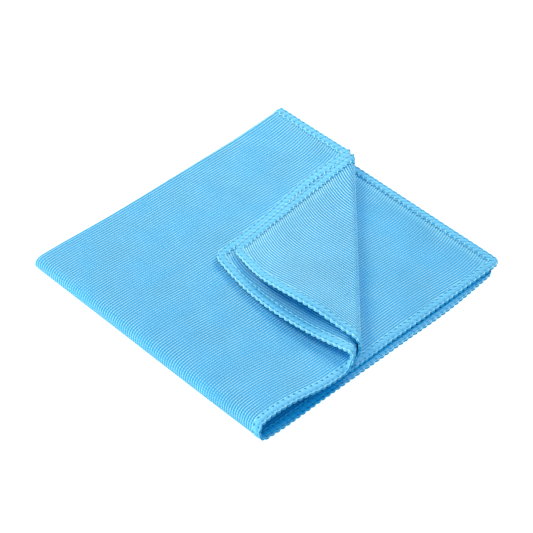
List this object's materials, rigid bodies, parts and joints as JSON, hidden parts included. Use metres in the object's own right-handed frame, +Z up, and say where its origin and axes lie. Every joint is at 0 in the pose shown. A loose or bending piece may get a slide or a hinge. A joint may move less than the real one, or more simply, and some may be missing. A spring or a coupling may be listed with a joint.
{
  "type": "microfibre cloth",
  "caption": "Square knitted cleaning cloth with an overlocked hem, folded in quarters with one corner of its upper layers turned back over the top.",
  "frame": {"origin": "middle of the flat underside, on the surface that the folded cloth lies on", "axes": "+Z up from the table; +X runs from the first fold to the side where four hems lie open; +Y runs from the rolled fold to the end hems"},
  "size_m": [0.195, 0.2051, 0.019],
  "materials": {
    "knit": "soft matt ribbed knit"
  },
  "bodies": {
    "root": {"cloth": "knit"}
  },
  "joints": []
}
